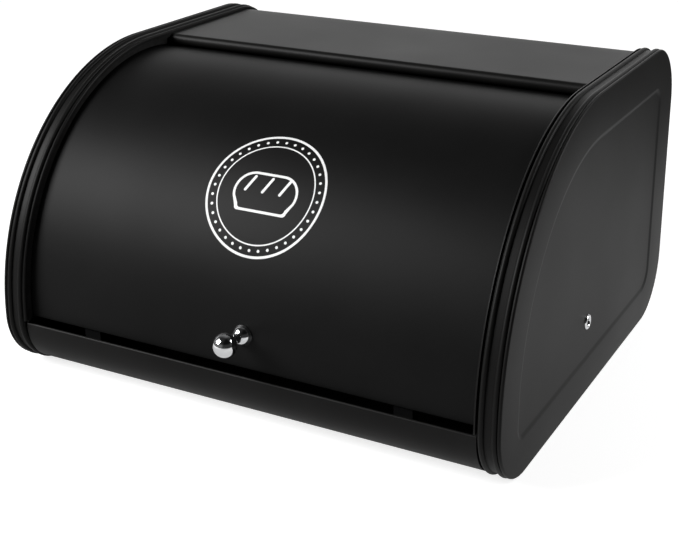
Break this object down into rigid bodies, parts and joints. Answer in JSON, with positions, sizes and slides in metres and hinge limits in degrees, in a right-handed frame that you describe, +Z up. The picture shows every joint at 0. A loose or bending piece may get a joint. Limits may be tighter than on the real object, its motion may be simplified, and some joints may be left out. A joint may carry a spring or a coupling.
{
  "type": "bread box with roll top",
  "caption": "Painted steel bread box with a curved roll-top lid that turns back about side pivots, a chrome ball knob and beaded end caps.",
  "frame": {"origin": "middle of the bounding box in plan, at the level of the surface it stands on", "axes": "+X to the right seen from the front, -Y out of the lid and knob side, +Z up"},
  "size_m": [0.347, 0.3352, 0.2],
  "materials": {
    "body_paint": "satin black powder coat",
    "lid_paint": "semi-gloss black powder coat",
    "chrome": "polished",
    "zinc": "zinc plated",
    "nylon": "natural nylon",
    "rubber": "matte",
    "ink": "white screen print"
  },
  "bodies": {
    "body": {"cap_left": "body_paint", "cap_right": "body_paint", "body_wrap": "body_paint", "closing_buffers": "rubber", "pivot_rivets": "chrome", "pivot_spacers": "nylon", "pivot_washers": "zinc"},
    "lid": {"lid_sheet": "lid_paint", "lid_side_left": "lid_paint", "lid_side_right": "lid_paint", "knob": "chrome", "knob_washer": "zinc", "knob_screw": "zinc", "lid_badge": "ink"}
  },
  "joints": [
    {"name": "lid_turn", "type": "hinge", "parent": "body", "child": "lid", "pos_m": [0, -0.00146, 0.0508], "axis": [-1, 0, 0], "range_deg": [0, 90]}
  ]
}
